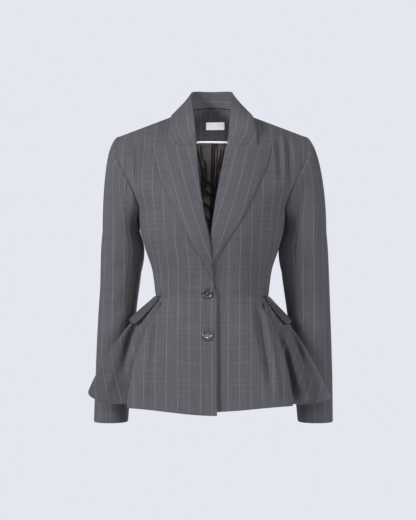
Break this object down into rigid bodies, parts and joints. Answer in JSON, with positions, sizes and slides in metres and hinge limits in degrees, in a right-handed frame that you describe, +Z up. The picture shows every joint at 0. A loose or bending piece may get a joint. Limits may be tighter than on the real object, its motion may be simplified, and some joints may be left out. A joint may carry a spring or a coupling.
{
  "type": "peplum jacket",
  "caption": "Tailored wool jacket, filled out as worn: peak lapels, padded shoulders, nipped waist, long sleeves and flap pockets over a side peplum that stands out in flutes.",
  "frame": {"origin": "midway between the shoulder tips, 72 mm below the neck points, where the wearer's shoulders carry the jacket", "axes": "+Z up, the front faces -Y, the wearer's left arm is at +X"},
  "size_m": [0.5448, 0.2584, 0.7394],
  "materials": {
    "wool": "fine grey pinstripe wool suiting, matt",
    "lining": "dark lining with a low sheen",
    "satin": "white woven satin",
    "button": "dark charcoal, dull polish"
  },
  "bodies": {
    "root": {"front_right": "wool", "side_body_right": "wool", "back_right": "wool", "peplum_right": "wool", "flap_right": "wool", "sleeve_top_right": "wool", "sleeve_under_right": "wool", "lapel_right": "wool", "front_left": "wool", "side_body_left": "wool", "back_left": "wool", "peplum_left": "wool", "flap_left": "wool", "sleeve_top_left": "wool", "sleeve_under_left": "wool", "lapel_left": "wool", "collar_fall": "wool", "collar_stand": "wool", "neck_facing": "wool", "label": "satin", "neck_piping": "satin", "lining_back": "lining", "button_top": "button", "button_lower": "button"}
  },
  "joints": []
}
